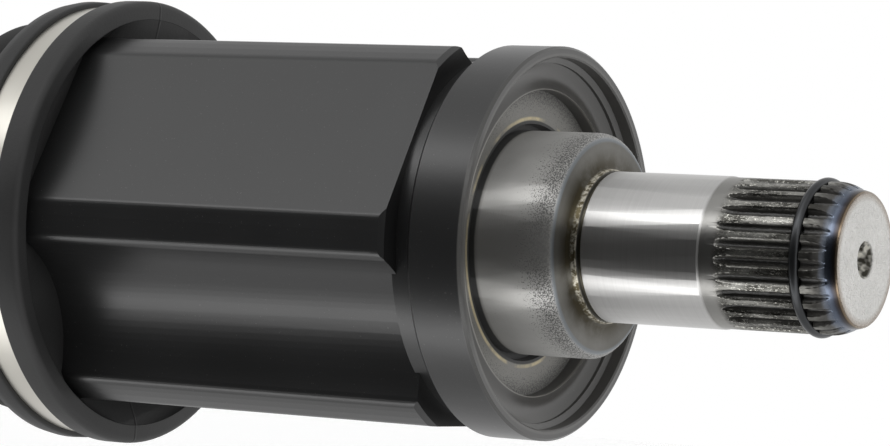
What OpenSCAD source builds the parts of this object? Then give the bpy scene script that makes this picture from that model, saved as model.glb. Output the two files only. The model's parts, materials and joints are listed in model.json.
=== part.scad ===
// Drive shaft of a front-wheel-drive car: a tripod plunge joint with a splined stub for the gearbox,
// a solid bar, and a fixed ball joint with a stub axle for the wheel hub.
// The shaft lies along X with the gearbox end at +X. The origin is the middle of the ground seat.
// The three lobes of the tripod housing point at 30, 150 and 270 degrees, counted from +Y towards +Z.

/* [Gearbox stub] */
// Diameter of the ground seat that runs in the gearbox
seat_d = 30; // [28:0.5:34]
// Length of the ground seat
seat_len = 26.2; // [18:0.2:36]
// Outer diameter of the stub spline
spline_d = 29.6; // [27:0.1:30]
// Number of teeth on the stub spline
spline_teeth = 27; // [20:1:34]
// Depth of the stub spline's teeth
spline_depth = 1.25; // [0.8:0.05:1.6]
// Length of the stub spline
spline_len = 23; // [16:0.5:34]
// Wire thickness of the retaining ring on the stub
clip_wire = 2; // [1.4:0.1:2.6]
// Distance from the stub's end face to the retaining ring
clip_inset = 8.3; // [6:0.1:12]

/* [Seal boss and dust ring] */
// Diameter of the boss that the gearbox seal runs on
boss_d = 45; // [40:0.5:52]
// Length of the boss that stands out of the dust ring
boss_len = 10.3; // [6:0.1:16]
// Outer diameter of the dust ring
ring_d = 79; // [76:0.5:86]
// Length of the dust ring
ring_len = 12.1; // [10:0.1:16]
// Inner diameter of the dust ring's front web
ring_hole_d = 61.6; // [56:0.2:66]

/* [Tripod housing] */
// Largest diameter of the housing, across its corners
housing_d = 83.4; // [82:0.2:88]
// Distance from the axis to the flat back of each lobe
lobe_flat = housing_d / 2 - 4.1; // [37:0.1:40]
// Distance from the axis to the middle of each hollow between the lobes
hollow_depth = housing_d / 2 - 9.35; // [28:0.1:37]
// Radius of the hollow between two lobes
hollow_r = 25; // [18:1:60]
// Length of the housing behind the dust ring
barrel_len = 101.6; // [96:0.2:125]
// Distance from the middle of the joint to the housing's mouth
joint_depth = 33; // [28:0.5:36]

/* [Tripod] */
// Diameter of the three rollers
roller_d = 32; // [28:0.5:33]
// Width of the rollers
roller_w = 11; // [9:0.1:12]
// Distance from the joint's middle to the middle of each roller
roller_pitch = lobe_flat - 14.1; // [22.5:0.1:24.2]
// Diameter of the three trunnions
trunnion_d = 15; // [13:0.2:16]
// Number of needles under each roller
needle_count = 24; // [16:1:26]
// Free play on each side of a roller in its track
track_play = 0.95; // [0.8:0.05:1.2]

/* [Bar] */
// Distance between the middles of the two joints
bar_span = 345; // [300:1:520]
// Diameter of the bar
bar_d = 25; // [22:0.5:28]
// Diameter of the bar's neck at the tripod joint
neck_d = 22; // [20:0.5:23]

/* [Ball joint] */
// Diameter of the six balls
ball_d = 16; // [14:0.2:17]
// Radius of the circle that the balls lie on
ball_circle_r = 29.5; // [28.5:0.1:30.5]
// Wall of the ball cage
cage_wall = 6; // [4:0.2:7]
// Outer diameter of the joint's bell
bell_d = 91; // [88:0.5:98]
// Play that the tracks leave round the balls
ball_play = 1.7; // [1.6:0.05:1.9]

/* [Wheel end] */
// Length of the stub axle's spline
axle_spline_len = 60; // [40:1:75]
// Outer diameter of the stub axle's spline
axle_spline_d = 27.6; // [25:0.1:30]
// Length of the stub axle's thread
axle_thread_len = 34; // [28:1:45]
// Diameter of the stub axle's thread
axle_thread_d = 24; // [20:0.5:24.5]
// Width of the axle nut across its flats
nut_flats = 36; // [32:1:41]
// Height of the axle nut
nut_len = 20; // [16:0.5:24]

/* [Boots] */
// Outer diameter of the tripod joint's boot at its front flange
boot_d = housing_d + 9.8; // [91.5:0.2:100]
// Thickness of the boots' rubber
rubber = 2.2; // [1.6:0.1:3]
// Width of the large clamp bands
band_w = 6.6; // [5:0.1:9]
// Thickness of the clamp bands
band_t = 0.8; // [0.5:0.1:1.2]
// Distance from the tripod joint's middle to the small end of its boot
inner_boot_reach = 93; // [85:1:120]
// Distance from the ball joint's middle to the small end of its boot
outer_boot_reach = 74; // [66:1:95]

/* [Hidden] */
$fn = 96;
LOBES = [30, 150, 270];
BALLS = [for (i = [0 : 5]) 60 * i];

// Clearances, by what they are for
seat_fit = 0.05;      // pieces that sit on each other in one assembly
needle_play = 0.15;   // needles against trunnion and roller
sphere_play = 0.25;   // ball-joint spheres that slide on each other

// Places along the shaft, from the origin outwards
seat_front = seat_len / 2;
collar_len = 2.3;
nose_len = 3;
nose_curve = [[6, 0], [5.2, 0.07], [4.5, 0.2], [3.7, 0.42], [3, 0.7], [2.4, 1.02], [2, 1.25], [1, 1.45], [0.3, 1.65], [0, 1.9]];
spline_start = seat_front + collar_len;
spline_stop = spline_start + spline_len;
stub_end = spline_stop + nose_len;
clip_x = stub_end - clip_inset;
relief_len = 0.8;
relief_front = -seat_len / 2 + 0.5;
relief_rear = relief_front - relief_len;
face_lip = 1.7;
face_fillet = 1.2;
boss_front = relief_rear - face_lip;
boss_edge = 2;
ring_front = boss_front - boss_len;
ring_rear = ring_front - ring_len;
neck_show = 3.9;
flats_start = ring_rear - neck_show;
mouth_x = flats_start - barrel_len;
joint_x = mouth_x + joint_depth;
outer_x = joint_x - bar_span;

// Radii of the stub and its spline
seat_r = seat_d / 2;
spline_r = spline_d / 2;
spline_root = spline_r - spline_depth;
relief_r = seat_r - 0.7;
lip_r = seat_r + 0.3;
boss_r = boss_d / 2;
clip_root = spline_root - 0.6;
clip_r = spline_r - 0.3;
drill_r = 3.7;

// Dust ring and the neck it is pressed on
ring_r = ring_d / 2;
ring_wall = 2.9;
web_t = 3;
web_set = 4;
lip_set = 3.3;
neck_r = ring_r - ring_wall;
neck_front = ring_front - web_set - web_t;
neck_groove = 1.4;

// Tripod housing: tracks, lands and the spring's pocket
housing_r = housing_d / 2;
corner_r = 2.5;
end_chamfer = 1.4;
roller_r = roller_d / 2;
track_half = roller_r + track_play;
track_corner = 5;
trunnion_r = trunnion_d / 2;
roller_top = roller_pitch + roller_w / 2;
clip_t = 1.2;
trunnion_top = roller_top + 0.3 + clip_t + 0.8;
track_top = trunnion_top + 1.7;
hub_r = roller_pitch - roller_w / 2 - 1;
land_r = hub_r + 4.3;
plunge = 11;
tilt = 16.9;
cavity_end = joint_x + plunge + roller_r + roller_pitch * sin(tilt) + 4;
flare_r = neck_d / 2 / cos(tilt) + (joint_depth + plunge) * tan(tilt) + 0.6;
flare_len = (flare_r - land_r) / tan(tilt);
pocket_r = 9.8;
pocket_end = cavity_end + 12;

// Spider, needles and the bar's inner end
hub_half = 11;
nose_r = 21;
nose_shaft_r = 9;
needle_r = 0.95;
needle_pitch = trunnion_r + needle_play + needle_r;
roller_bore = needle_pitch + needle_r + needle_play;
inner_spline_r = neck_d / 2 + 0.6;
inner_spline_depth = 0.9;
cap_t = 3.5;
cap_r = 9.4;
cap_gap = 0.3;
cap_back = joint_x + nose_r + cap_gap + cap_t;
spring_wire = 1.6;
spring_r = 7.6;
spring_turns = 4.5;

// Ball joint, counted from its middle
ball_r = ball_d / 2;
track_r = ball_r + ball_play;
cage_in = ball_circle_r - cage_wall / 2 - 0.1;
cage_out = cage_in + cage_wall;
cage_half = ball_r + 5;
race_r = cage_in - sphere_play;
race_half = 12;
bell_bore = cage_out + sphere_play;
bell_r = bell_d / 2;
bell_rim = 12;
bell_seat_len = 14;
bell_seat_drop = 2;
bell_back = 22;
bell_floor = bell_bore + 6;
shoulder = 44;
shoulder_r = 26;
track_swing = 45;
axle_spline_end = shoulder + 4 + axle_spline_len;
axle_end = axle_spline_end + axle_thread_len;
nut_set = axle_thread_len - 7;
nut_flange = 4;
outer_spline_r = bar_d / 2 - 0.5;

// Boots and clamps
boot_r = boot_d / 2;
boot_front = mouth_x + 17.6;
flange_len = 5.9;
band_front = boot_front - flange_len;
band_rear = band_front - band_w;
band_seat = boot_r - 1.8;
adaptor_r = boot_r - 3.4;
adaptor_rear = band_rear - 1.7;
bar_r = bar_d / 2;
collar_w = 13;
small_band_w = 6;
small_collar_r = bar_r + 2.6;
inner_small = joint_x - inner_boot_reach;
outer_small = outer_x + outer_boot_reach;
bell_seat_r = bell_r - bell_seat_drop;
outer_collar_r = bell_seat_r + 2.8;
outer_band_mid = outer_x + bell_rim - bell_seat_len / 2;

// A solid turned about the shaft's axis from [radius, place along X] points.
module turned(profile) {
    rotate([0, 90, 0]) rotate_extrude() polygon(profile);
}

// A flat shape in the YZ plane, drawn out along X from one place to another.
module along(from_x, to_x) {
    translate([from_x, 0, 0]) rotate([90, 0, 90]) linear_extrude(to_x - from_x) children();
}

// Moves to the tripod's middle and turns +Z to point along the trunnion at this angle.
module on_trunnion(angle) {
    translate([joint_x, 0, 0]) rotate([angle - 90, 0, 0]) children();
}

// Points of a quarter round between a cylinder and an end face: rounded outwards, or hollowed like a fillet.
function edge_round(r, x, size) = [for (a = [0 : 15 : 90]) [r - size + size * cos(a), x - size + size * sin(a)]];
function edge_hollow(r, x, size) = [for (a = [0 : 15 : 90]) [r + size - size * sin(a), x + size - size * cos(a)]];

// Corners of a spline's outline: each tooth has a tip and a wider foot.
function spline_outline(teeth, tip, root, grow = 0) = [
    for (i = [0 : teeth - 1], k = [[root, -0.35], [tip, -0.17], [tip, 0.17], [root, 0.35]])
        let (a = 360 * (i + k[1]) / teeth + sign(k[1]) * grow)
            (k[0]) * [cos(a), sin(a)]];

// A splined length between two places. The grooves run out in an arc at the start. The nose is a list of
// [distance from the end, drop in radius] and cuts the grooves off at the other end.
module splined(from_x, to_x, teeth, tip, depth, runout, nose) {
    root = tip - depth;
    arc = [for (i = [0 : 6]) [tip - depth * pow(i / 6, 2), from_x + runout * sin(90 * i / 6)]];
    intersection() {
        union() {
            turned(concat([[0, from_x]], arc, [[root, to_x + 1], [0, to_x + 1]]));
            along(from_x, to_x + 1) polygon(spline_outline(teeth, tip + 0.2, root - 0.4));
        }
        turned(concat([[0, from_x], [tip, from_x]], [for (p = nose) [tip - p[1], to_x - p[0]]], [[0, to_x]]));
    }
}

// Outline of the tripod housing: flat lobe backs, round hollows and turned corners.
module housing_outline(grow = 0) {
    offset(r = corner_r, $fn = 36) offset(delta = grow - corner_r) difference() {
        intersection() {
            circle(housing_r, $fn = 120);
            rotate(LOBES[0] + 60) circle(lobe_flat * 2, $fn = 3);
        }
        for (a = LOBES) rotate(a + 60) translate([hollow_depth + hollow_r, 0]) circle(hollow_r, $fn = 120);
    }
}

// One roller track in the housing, drawn for the lobe that points along +X of this plane.
module track_outline() {
    side = track_half - track_corner;
    translate([0, -track_half]) square([track_top - track_corner, 2 * track_half]);
    translate([0, -side]) square([track_top, 2 * side]);
    for (s = [-1, 1]) translate([track_top - track_corner, s * side]) circle(track_corner);
}

// Stub, boss and tripod housing, forged and turned in one piece.
module inner_housing() {
    color([0.10, 0.105, 0.11]) difference() {
        union() {
            intersection() {
                along(mouth_x, flats_start) housing_outline();
                turned([[0, mouth_x], [housing_r + 1, mouth_x], [housing_r + 1, flats_start - end_chamfer * 2],
                        [housing_r - end_chamfer / 2, flats_start], [0, flats_start]]);
            }
            turned(concat(
                [[0, flats_start - 1], [neck_r, flats_start - 1], [neck_r, neck_front - 0.5],
                 [neck_r - 0.5, neck_front], [boss_r + neck_groove, neck_front],
                 [boss_r + neck_groove - 0.3, neck_front - 2], [boss_r, neck_front - 2]],
                edge_round(boss_r, boss_front, boss_edge), edge_hollow(lip_r, boss_front, face_fillet),
                [[lip_r, relief_rear - 0.15], [lip_r - 0.15, relief_rear], [relief_r, relief_rear],
                 [relief_r, relief_front], [seat_r - 0.2, relief_front], [seat_r, relief_front + 0.2],
                 [seat_r, seat_front - 0.4], [seat_r - 0.3, seat_front], [spline_r, seat_front + 0.8],
                 [spline_r, spline_start], [0, spline_start]]));
            splined(spline_start, stub_end, spline_teeth, spline_r, spline_depth, 5, nose_curve);
        }
        turned([[clip_root, clip_x - clip_wire / 2 - 0.1], [spline_r + 1, clip_x - clip_wire / 2 - 0.1],
                [spline_r + 1, clip_x + clip_wire / 2 + 0.1], [clip_root, clip_x + clip_wire / 2 + 0.1]]);
        turned([[0, stub_end - drill_r - 0.8], [drill_r - 2.1, stub_end - drill_r + 0.1],
                [drill_r, stub_end], [drill_r, stub_end + 0.1], [0, stub_end + 0.1]]);
        along(mouth_x - 1, cavity_end) {
            for (a = LOBES) rotate(a) track_outline();
            circle(land_r);
        }
        turned([[0, mouth_x - 1], [flare_r + tan(tilt), mouth_x - 1], [land_r, mouth_x + flare_len],
                [0, mouth_x + flare_len]]);
        turned([[0, cavity_end - 1], [pocket_r, cavity_end - 1], [pocket_r, pocket_end], [0, pocket_end + 3]]);
    }
}

// Round wire ring that snaps the stub into the gearbox.
module stub_circlip() {
    color([0.05, 0.05, 0.055]) translate([clip_x, 0, 0]) rotate([0, 90, 0]) rotate([0, 0, 100])
        rotate_extrude(angle = 338) translate([clip_r, 0]) circle(clip_wire / 2, $fn = 24);
}

// Dust ring pressed on the housing's neck, with a dished web in front.
module dust_ring() {
    hole_r = ring_hole_d / 2;
    dish = [for (i = [0 : 8]) let (t = i / 8)
        [hole_r + (neck_r - 0.4 - hole_r) * t, ring_front - web_set - 1.3 * sin(180 * t)]];
    color([0.12, 0.125, 0.13]) turned(concat(
        [[hole_r, ring_front - web_set - web_t]], dish,
        [[neck_r - 0.4, ring_front - lip_set], [neck_r + 0.7, ring_front - lip_set + 0.6],
         [neck_r + 0.7, ring_front - 0.3], [neck_r + 1, ring_front], [ring_r - 0.5, ring_front],
         [ring_r, ring_front - 0.5], [ring_r, ring_rear + 0.8], [ring_r - 0.8, ring_rear],
         [neck_r + seat_fit, ring_rear], [neck_r + seat_fit, ring_front - web_set - web_t]]));
}

// Moulded insert that fills the gap between the lobed housing and the boot's round collar.
module boot_adaptor() {
    color([0.07, 0.07, 0.072]) along(adaptor_rear, boot_front) difference() {
        circle(adaptor_r);
        housing_outline(seat_fit);
    }
}

// Middle line of a boot's folds: a wave about a line from one radius to another.
function fold_line(from_x, to_x, from_r, to_r, depth, folds) = [
    for (i = [0 : folds * 8])
        let (t = i / (folds * 8), swing = depth * (1 - 0.45 * t))
            [from_r + (to_r - from_r) * pow(t, 1.15) - swing * (1 - cos(360 * folds * t)) / 2,
             from_x + (to_x - from_x) * t]];

// The same line moved in or out, so that two of them make a wall.
function moved_line(line, by) = [for (p = line) [p[0] + by, p[1]]];
function reversed(line) = [for (i = [len(line) - 1 : -1 : 0]) line[i]];

// Rubber boot of the tripod joint: a large collar, four folds and a small collar on the bar.
module inner_boot() {
    first_fold = adaptor_rear - 1.6;
    last_fold = inner_small + collar_w + 2;
    folds = fold_line(first_fold - 1.5, last_fold, boot_r - 0.2, small_collar_r + 6, 9, 4);
    outer = concat([[boot_r - 0.4, boot_front], [boot_r, boot_front - 0.6], [boot_r - 0.4, band_front],
                    [band_seat, band_front], [band_seat, band_rear], [boot_r - 1, band_rear],
                    [boot_r - 0.3, first_fold]], folds,
                   [[small_collar_r, last_fold - 1.5], [small_collar_r, inner_small]]);
    inner = concat([[adaptor_r + seat_fit, boot_front], [adaptor_r + seat_fit, adaptor_rear]],
                   moved_line(folds, -rubber),
                   [[bar_r + seat_fit, last_fold - 2.5], [bar_r + seat_fit, inner_small]]);
    color([0.06, 0.06, 0.062]) turned(concat(outer, reversed(inner)));
}

// Flat steel band with its crimped ear, on a collar of this radius.
module clamp_band(mid_x, radius, width, ear_angle) {
    ear_w = 9;
    color([0.80, 0.79, 0.75]) {
        turned([[radius + seat_fit, mid_x - width / 2], [radius + seat_fit + band_t, mid_x - width / 2],
                [radius + seat_fit + band_t, mid_x + width / 2], [radius + seat_fit, mid_x + width / 2]]);
        along(mid_x - width / 2, mid_x + width / 2) rotate(ear_angle) difference() {
            translate([radius + seat_fit + band_t / 2, -ear_w / 2]) square([3.6, ear_w]);
            translate([radius + seat_fit + band_t * 1.5, -ear_w / 2 + band_t]) square([3.6 - band_t * 2, ear_w - band_t * 2]);
        }
    }
}

module inner_boot_large_clamp() {
    clamp_band((band_front + band_rear) / 2, band_seat, band_w - 0.2, 25);
}

module inner_boot_small_clamp() {
    clamp_band(inner_small + collar_w / 2, small_collar_r, small_band_w, 25);
}

// Coil spring between the housing's pocket and the thrust cap.
module thrust_spring() {
    start = cap_back + spring_wire / 2 + 0.05;
    stop = pocket_end - spring_wire / 2 - 0.05;
    steps = 16;
    sides = 6;
    rings = spring_turns * steps;
    points = [for (i = [0 : rings], k = [0 : sides - 1])
        let (t = i / rings, a = 360 * spring_turns * t, b = 360 * k / sides,
             r = spring_r + spring_wire / 2 * cos(b))
            [start + (stop - start) * t + spring_wire / 2 * sin(b), r * cos(a), r * sin(a)]];
    sides_faces = [for (i = [0 : rings - 1], k = [0 : sides - 1])
        let (a = i * sides + k, b = i * sides + (k + 1) % sides)
            [a, b, b + sides, a + sides]];
    ends = [[for (k = [sides - 1 : -1 : 0]) k], [for (k = [0 : sides - 1]) rings * sides + k]];
    color([0.55, 0.56, 0.58]) polyhedron(points, concat(sides_faces, ends), convexity = 6);
}

// Hardened cap that the spring presses on the bar's domed end.
module thrust_cap() {
    color([0.62, 0.63, 0.65]) difference() {
        along(joint_x + nose_r - 2, cap_back) circle(cap_r);
        translate([joint_x, 0, 0]) sphere(nose_r + cap_gap, $fn = 120);
    }
}

// Three-armed spider, splined on the bar.
module spider() {
    color([0.52, 0.53, 0.55]) difference() {
        union() {
            turned([[0, joint_x - hub_half], [hub_r - 1, joint_x - hub_half], [hub_r, joint_x - hub_half + 1],
                    [hub_r, joint_x + hub_half - 1], [hub_r - 1, joint_x + hub_half], [0, joint_x + hub_half]]);
            for (a = LOBES) on_trunnion(a) {
                cylinder(r = trunnion_r + 1.2, h = roller_pitch - roller_w / 2 - 0.4);
                cylinder(r = trunnion_r, h = trunnion_top - 0.6);
                translate([0, 0, trunnion_top - 0.6]) cylinder(r1 = trunnion_r, r2 = trunnion_r - 0.6, h = 0.6);
            }
        }
        along(joint_x - hub_half - 1, joint_x + hub_half + 1)
            polygon(spline_outline(24, inner_spline_r + seat_fit, inner_spline_r - inner_spline_depth + seat_fit, 0.25));
        for (a = LOBES) on_trunnion(a) translate([0, 0, roller_top + 0.3]) difference() {
            cylinder(r = trunnion_r + 1, h = clip_t + 0.1);
            translate([0, 0, -1]) cylinder(r = trunnion_r - 0.8, h = clip_t + 3);
        }
    }
}

// Flat retaining ring: a washer with a gap, on its own Z axis.
module snap_ring(inner, outer, thick, gap) {
    difference() {
        cylinder(r = outer, h = thick);
        translate([0, 0, -1]) cylinder(r = inner, h = thick + 2);
        translate([inner - 2, -gap / 2, -1]) cube([outer, gap, thick + 2]);
    }
}

module spider_circlip() {
    color([0.3, 0.3, 0.32]) translate([joint_x + hub_half + 0.1, 0, 0]) rotate([0, 90, 0])
        snap_ring(nose_shaft_r + 0.05, inner_spline_r + 2, 1.5, 5);
}

// Roller with a crowned tread and a plain bore for its needles.
module roller(angle) {
    color([0.66, 0.67, 0.69]) on_trunnion(angle) translate([0, 0, roller_pitch]) difference() {
        intersection() {
            sphere(roller_r, $fn = 120);
            cube([3 * roller_r, 3 * roller_r, roller_w], center = true);
        }
        cylinder(r = roller_bore, h = roller_w + 2, center = true);
    }
}

// Full row of needles between one trunnion and its roller.
module needle_row(angle) {
    color([0.7, 0.71, 0.73]) on_trunnion(angle) for (i = [0 : needle_count - 1])
        rotate(360 * i / needle_count) translate([needle_pitch, 0, roller_pitch - roller_w / 2 + 0.3])
            cylinder(r = needle_r, h = roller_w - 0.6, $fn = 16);
}

module roller_clip(angle) {
    color([0.3, 0.3, 0.32]) on_trunnion(angle) translate([0, 0, roller_top + 0.35])
        snap_ring(trunnion_r - 0.75, roller_bore + 1.2, clip_t, 5);
}

module roller_1() { roller(LOBES[2]); }
module roller_2() { roller(LOBES[0]); }
module roller_3() { roller(LOBES[1]); }
module needles_1() { needle_row(LOBES[2]); }
module needles_2() { needle_row(LOBES[0]); }
module needles_3() { needle_row(LOBES[1]); }
module roller_clip_1() { roller_clip(LOBES[2]); }
module roller_clip_2() { roller_clip(LOBES[0]); }
module roller_clip_3() { roller_clip(LOBES[1]); }

// Solid bar with a spline at each end and a domed nose in the tripod.
module bar() {
    dome = [for (i = [0 : 6]) let (a = asin(nose_shaft_r / nose_r) * (1 - i / 6))
        [nose_r * sin(a), joint_x + nose_r * cos(a)]];
    neck_r2 = neck_d / 2;
    race_end = outer_x - race_half;
    color([0.11, 0.11, 0.115]) {
        turned(concat(
            [[0, race_end - 7], [outer_spline_r - 2, race_end - 7], [outer_spline_r - 1, race_end - 6],
             [outer_spline_r - 1, race_end - 2.2], [outer_spline_r - 2.2, race_end - 2.2],
             [outer_spline_r - 2.2, race_end - 0.1], [outer_spline_r - 1, race_end - 0.1],
             [outer_spline_r - 1, outer_x + race_half], [bar_r, outer_x + race_half + 6],
             [bar_r, outer_small], [bar_r + 0.9, outer_small - 1.5], [bar_r + 0.9, outer_small - 3.5],
             [bar_r, outer_small - 5]],
            [[bar_r, outer_small + collar_w + 3], [bar_r + 0.9, outer_small + collar_w + 5],
             [bar_r + 0.9, outer_small + collar_w + 7], [bar_r, outer_small + collar_w + 9],
             [bar_r, inner_small - 9], [bar_r + 0.9, inner_small - 7], [bar_r + 0.9, inner_small - 5],
             [bar_r, inner_small - 3], [bar_r, joint_x - joint_depth - 32],
             [neck_r2, joint_x - joint_depth - 22], [neck_r2, joint_x - hub_half - 4],
             [inner_spline_r - inner_spline_depth, joint_x - hub_half - 1],
             [inner_spline_r - inner_spline_depth, joint_x + hub_half],
             [nose_shaft_r - 0.02, joint_x + hub_half], [nose_shaft_r - 0.02, joint_x + hub_half + 1.7],
             [nose_shaft_r + 0.6, joint_x + hub_half + 1.7], [nose_shaft_r + 0.6, joint_x + hub_half + 3]],
            dome, [[0, joint_x + nose_r]]));
        along(joint_x - hub_half - 1, joint_x + hub_half)
            polygon(spline_outline(24, inner_spline_r, inner_spline_r - inner_spline_depth));
        along(outer_x - race_half - 0.1, outer_x + race_half)
            polygon(spline_outline(26, outer_spline_r, outer_spline_r - 1));
    }
}

// Rubber boot of the ball joint, on the bell's seat and the bar.
module outer_boot() {
    first_fold = outer_x + bell_rim + 2;
    folds = fold_line(first_fold, outer_small - 2, outer_collar_r - 0.5, small_collar_r + 6, 8, 5);
    outer = concat([[outer_collar_r, outer_x + bell_rim - bell_seat_len + 0.4],
                    [outer_collar_r, outer_band_mid - band_w / 2], [outer_collar_r - 1, outer_band_mid - band_w / 2],
                    [outer_collar_r - 1, outer_band_mid + band_w / 2], [outer_collar_r, outer_band_mid + band_w / 2],
                    [outer_collar_r, outer_x + bell_rim]], folds,
                   [[small_collar_r, outer_small - 0.5], [small_collar_r, outer_small + collar_w]]);
    inner = concat([[bell_seat_r + seat_fit, outer_x + bell_rim - bell_seat_len + 0.4],
                    [bell_seat_r + seat_fit, outer_x + bell_rim + 0.5]],
                   moved_line(folds, -rubber),
                   [[bar_r + seat_fit, outer_small + 0.5], [bar_r + seat_fit, outer_small + collar_w]]);
    color([0.06, 0.06, 0.062]) turned(concat(outer, reversed(inner)));
}

module outer_boot_large_clamp() {
    clamp_band(outer_band_mid, outer_collar_r - 1, band_w - 0.2, 25);
}

module outer_boot_small_clamp() {
    clamp_band(outer_small + collar_w / 2 + 1, small_collar_r, small_band_w, 25);
}

// Six ball tracks: arcs of round section about the joint's middle.
module ball_tracks() {
    for (a = BALLS) translate([outer_x, 0, 0]) rotate([a, 0, 0]) rotate([90, 0, 0]) rotate([0, 0, 90 - track_swing])
        rotate_extrude(angle = 2 * track_swing) translate([ball_circle_r, 0]) circle(track_r, $fn = 48);
}

// Inner race, splined on the bar, with six tracks cut in its sphere.
module inner_race() {
    color([0.58, 0.59, 0.61]) difference() {
        intersection() {
            translate([outer_x, 0, 0]) sphere(race_r, $fn = 120);
            along(outer_x - race_half, outer_x + race_half) circle(race_r + 1);
        }
        ball_tracks();
        along(outer_x - race_half - 1, outer_x + race_half + 1)
            polygon(spline_outline(26, outer_spline_r + seat_fit, outer_spline_r - 1 + seat_fit, 0.25));
    }
}

module inner_race_circlip() {
    color([0.3, 0.3, 0.32]) translate([outer_x - race_half - 2.1, 0, 0]) rotate([0, 90, 0])
        snap_ring(outer_spline_r - 2.15, outer_spline_r + 1.2, 1.9, 5);
}

// Cage that holds the six balls in one plane, with a window for each.
module cage() {
    window_half = ball_r + 0.1;
    window_side = ball_r + 0.8;
    corner = 3;
    color([0.48, 0.49, 0.51]) difference() {
        intersection() {
            translate([outer_x, 0, 0]) sphere(cage_out, $fn = 120);
            along(outer_x - cage_half, outer_x + cage_half) circle(cage_out + 1);
        }
        translate([outer_x, 0, 0]) sphere(cage_in, $fn = 120);
        for (a = BALLS) translate([outer_x, 0, 0]) rotate([a, 0, 0]) translate([0, 0, cage_in - 5]) {
            translate([-window_half, -window_side + corner, 0]) cube([2 * window_half, 2 * (window_side - corner), 20]);
            translate([-window_half + corner, -window_side, 0]) cube([2 * (window_half - corner), 2 * window_side, 20]);
            for (u = [-1, 1], v = [-1, 1])
                translate([u * (window_half - corner), v * (window_side - corner), 0]) cylinder(r = corner, h = 20, $fn = 32);
        }
    }
}

module joint_ball(angle) {
    color([0.75, 0.76, 0.78]) translate([outer_x, 0, 0]) rotate([angle, 0, 0])
        translate([0, 0, ball_circle_r]) sphere(ball_r, $fn = 64);
}

module ball_top() { joint_ball(BALLS[0]); }
module ball_bottom() { joint_ball(BALLS[3]); }
module side_balls() { for (i = [1, 2, 4, 5]) joint_ball(BALLS[i]); }

// Bell with its six tracks, and the stub axle for the wheel hub.
module outer_race() {
    thread_r = axle_thread_d / 2;
    color([0.12, 0.12, 0.125]) difference() {
        union() {
            turned([[0, outer_x - shoulder - 5], [shoulder_r - 9, outer_x - shoulder - 4],
                    [shoulder_r - 9, outer_x - shoulder], [shoulder_r - 0.5, outer_x - shoulder],
                    [shoulder_r, outer_x - shoulder + 0.5], [shoulder_r, outer_x - bell_floor + 1],
                    [bell_r - 7, outer_x - bell_back - 9], [bell_r - 1.5, outer_x - bell_back - 2.5],
                    [bell_r, outer_x - bell_back], [bell_r, outer_x + bell_rim - bell_seat_len - 1],
                    [bell_r - 1, outer_x + bell_rim - bell_seat_len], [bell_seat_r, outer_x + bell_rim - bell_seat_len],
                    [bell_seat_r, outer_x + bell_rim - 1], [bell_seat_r - 1, outer_x + bell_rim],
                    [0, outer_x + bell_rim]]);
            mirror([1, 0, 0]) splined(-(outer_x - shoulder - 4), -(outer_x - axle_spline_end), 26,
                                      axle_spline_d / 2, 1.1, 5, [[1.2, 0], [0, 1.08]]);
            turned([[0, outer_x - axle_end], [thread_r - 1.2, outer_x - axle_end],
                    [thread_r, outer_x - axle_end + 1.2], [thread_r, outer_x - axle_spline_end - 3],
                    [thread_r - 1.2, outer_x - axle_spline_end - 2], [thread_r - 1.2, outer_x - axle_spline_end + 1],
                    [0, outer_x - axle_spline_end + 1]]);
        }
        translate([outer_x, 0, 0]) rotate([0, 90, 0]) sphere(bell_bore, $fn = 120);
        ball_tracks();
        turned([[0, outer_x - axle_end - 0.1], [2.8, outer_x - axle_end - 0.1], [1.6, outer_x - axle_end + 1.6],
                [0, outer_x - axle_end + 4]]);
    }
}

// Flanged hexagon nut for the stub axle.
module axle_nut() {
    nut_x = outer_x - axle_spline_end - nut_set;
    corner = nut_flats / 2 / cos(30);
    back = nut_x + nut_len;
    color([0.62, 0.62, 0.6]) difference() {
        union() {
            intersection() {
                along(nut_x, back) circle(corner, $fn = 6);
                turned([[0, nut_x], [nut_flats / 2 - 0.5, nut_x], [corner, nut_x + 1.8], [corner, back], [0, back]]);
            }
            turned([[0, back - nut_flange - 1], [nut_flats / 2 - 1, back - nut_flange - 1],
                    [nut_flats / 2 + nut_flange, back - 2], [nut_flats / 2 + nut_flange, back], [0, back]]);
        }
        along(nut_x - 1, back + 1) circle(axle_thread_d / 2 + seat_fit);
    }
}

inner_housing();
stub_circlip();
dust_ring();
boot_adaptor();
inner_boot();
inner_boot_large_clamp();
inner_boot_small_clamp();
thrust_spring();
thrust_cap();
spider();
spider_circlip();
roller_1();
roller_2();
roller_3();
needles_1();
needles_2();
needles_3();
roller_clip_1();
roller_clip_2();
roller_clip_3();
bar();
outer_boot();
outer_boot_large_clamp();
outer_boot_small_clamp();
inner_race();
inner_race_circlip();
cage();
ball_top();
ball_bottom();
side_balls();
outer_race();
axle_nut();
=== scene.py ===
# %% [markdown]
# # A drive shaft, dressed for the camera
# This shaft carries a car's engine power from the gearbox to one front wheel. At its gearbox end is
# a splined stub, a ground boss with a dust ring, and a forged housing with three lobes for a
# sliding tripod joint. A solid bar leads to a ball joint and the stub axle for the wheel hub.
# The machined parts come ready from the CAD model. This script gives them their finishes, rebuilds the two
# rubber boots with their folds, and sets up the studio and the camera.

# %% The imported model
import json
import math

import bmesh
import bpy
from mathutils import Matrix, Vector


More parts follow.
